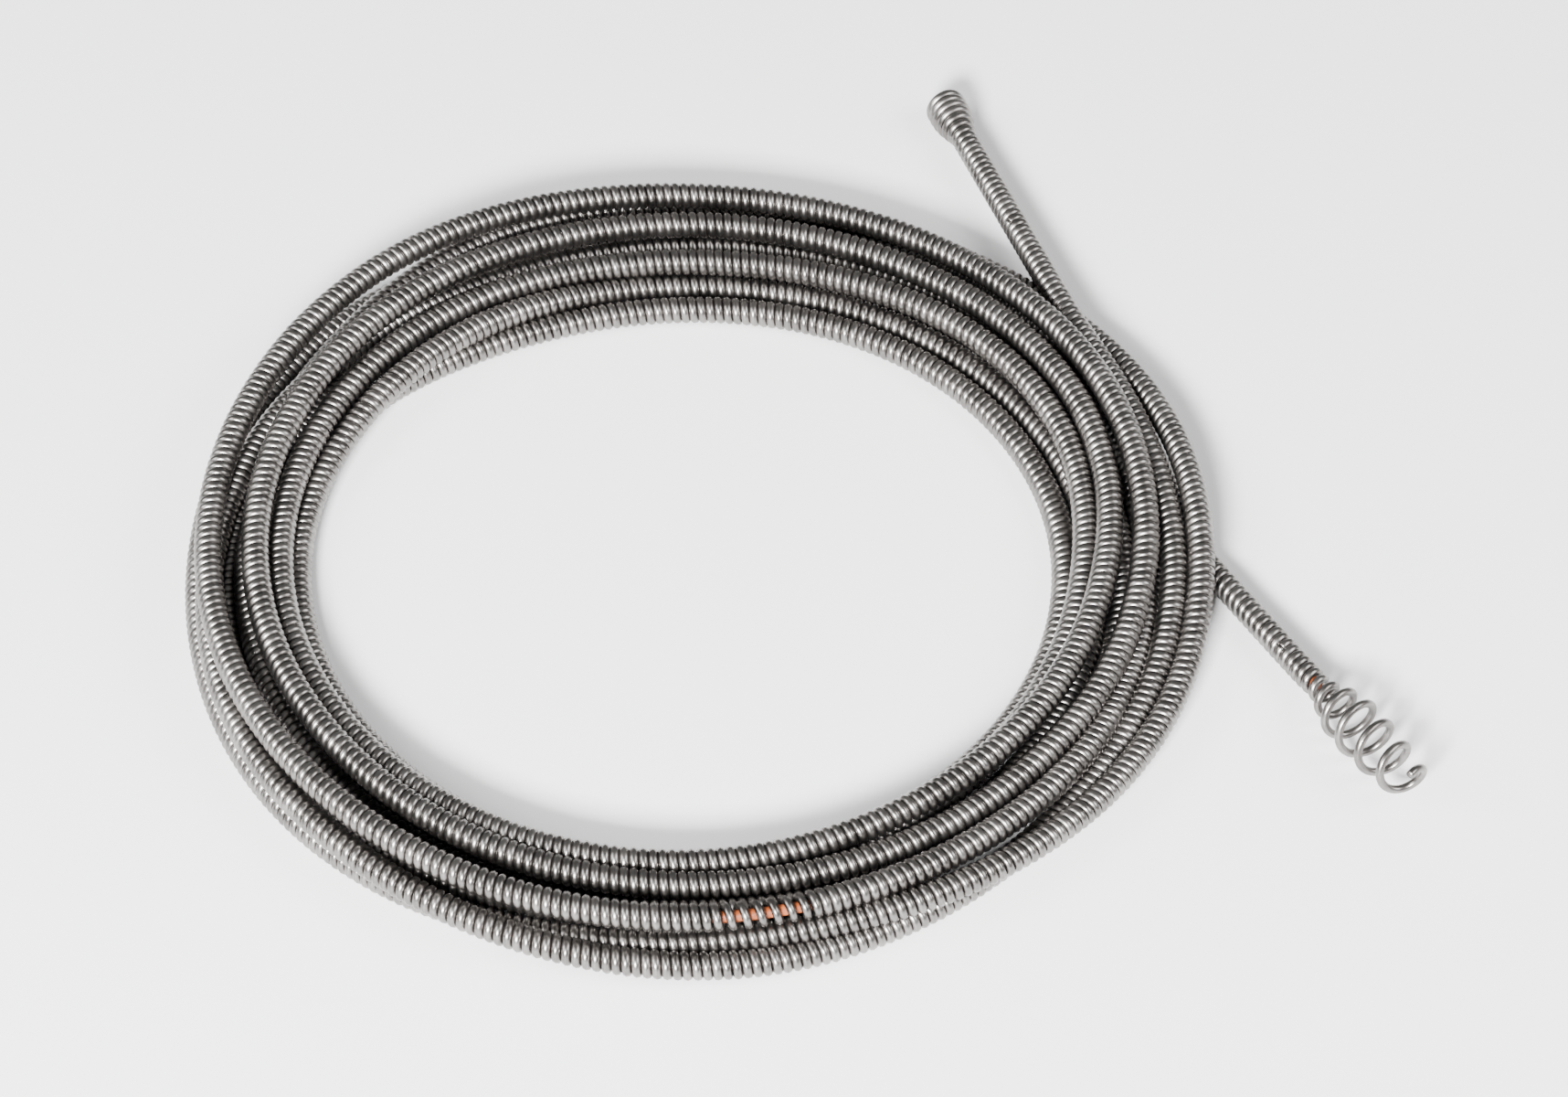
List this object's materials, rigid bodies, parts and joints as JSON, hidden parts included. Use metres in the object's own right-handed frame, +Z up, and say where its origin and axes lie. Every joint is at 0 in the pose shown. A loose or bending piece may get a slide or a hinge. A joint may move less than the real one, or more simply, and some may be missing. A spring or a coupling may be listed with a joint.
{
  "type": "drain auger",
  "caption": "Close-wound steel drain-cleaning cable with a jacketed rope core, in a loose coil, with an open bulb auger at one end and a closed drum bulb at the other.",
  "frame": {"origin": "on the floor, at the centre of the coil's outer rim", "axes": "+Z up; the bulb auger points towards +X and -Y, the closed bulb towards +Y"},
  "size_m": [0.3464, 0.3381, 0.0222],
  "materials": {
    "spring_steel": "drawn and oiled spring wire, semi-gloss",
    "core_jacket": "satin orange-brown plastic",
    "core_rope": "bright drawn wire"
  },
  "bodies": {
    "coil": {"cable_coil": "spring_steel", "auger_end_root_windings": "spring_steel", "auger_end_root_core_jacket": "core_jacket", "auger_end_root_core_centre_strand": "core_rope", "auger_end_root_core_outer_strands": "core_rope", "drum_end_root_windings": "spring_steel", "drum_end_root_core_jacket": "core_jacket", "drum_end_root_core_centre_strand": "core_rope", "drum_end_root_core_outer_strands": "core_rope"},
    "auger_end_middle": {"auger_end_middle_windings": "spring_steel", "auger_end_middle_core_jacket": "core_jacket", "auger_end_middle_core_centre_strand": "core_rope", "auger_end_middle_core_outer_strands": "core_rope"},
    "auger_end_outer": {"auger_end_outer_windings": "spring_steel", "auger_end_outer_core_jacket": "core_jacket", "auger_end_outer_core_centre_strand": "core_rope", "auger_end_outer_core_outer_strands": "core_rope", "auger_end_core_bead": "spring_steel"},
    "bulb_auger": {"bulb_auger": "spring_steel"},
    "drum_end_middle": {"drum_end_middle_windings": "spring_steel", "drum_end_middle_core_jacket": "core_jacket", "drum_end_middle_core_centre_strand": "core_rope", "drum_end_middle_core_outer_strands": "core_rope"},
    "drum_end_outer": {"drum_end_outer_windings": "spring_steel", "drum_end_outer_core_jacket": "core_jacket", "drum_end_outer_core_centre_strand": "core_rope", "drum_end_outer_core_outer_strands": "core_rope", "drum_end_core_bead": "spring_steel", "closed_bulb": "spring_steel"}
  },
  "joints": [
    {"name": "auger_end_swing", "type": "hinge", "parent": "coil", "child": "auger_end_middle", "pos_m": [0.1531, -0.01627, 0.00472], "axis": [0, 0, 1], "range_deg": [-12, 12], "stiffness_Nm_per_rad": 1},
    {"name": "auger_end_lift", "type": "hinge", "parent": "auger_end_middle", "child": "auger_end_outer", "pos_m": [0.1602, -0.02831, 0.0054], "axis": [-0.8616, -0.5075, 0], "range_deg": [0, 12], "stiffness_Nm_per_rad": 1},
    {"name": "bulb_auger_flex", "type": "hinge", "parent": "auger_end_outer", "child": "bulb_auger", "pos_m": [0.16805, -0.04165, 0.00616], "axis": [0, 0, 1], "range_deg": [-18, 18], "stiffness_Nm_per_rad": 0.4},
    {"name": "drum_end_swing", "type": "hinge", "parent": "coil", "child": "drum_end_middle", "pos_m": [0.09739, 0.12076, 0.00921], "axis": [0, 0, 1], "range_deg": [-12, 12], "stiffness_Nm_per_rad": 1},
    {"name": "drum_end_lift", "type": "hinge", "parent": "drum_end_middle", "child": "drum_end_outer", "pos_m": [0.08953, 0.14235, 0.00829], "axis": [0.9397, 0.342, 0], "range_deg": [0, 12], "stiffness_Nm_per_rad": 1}
  ]
}
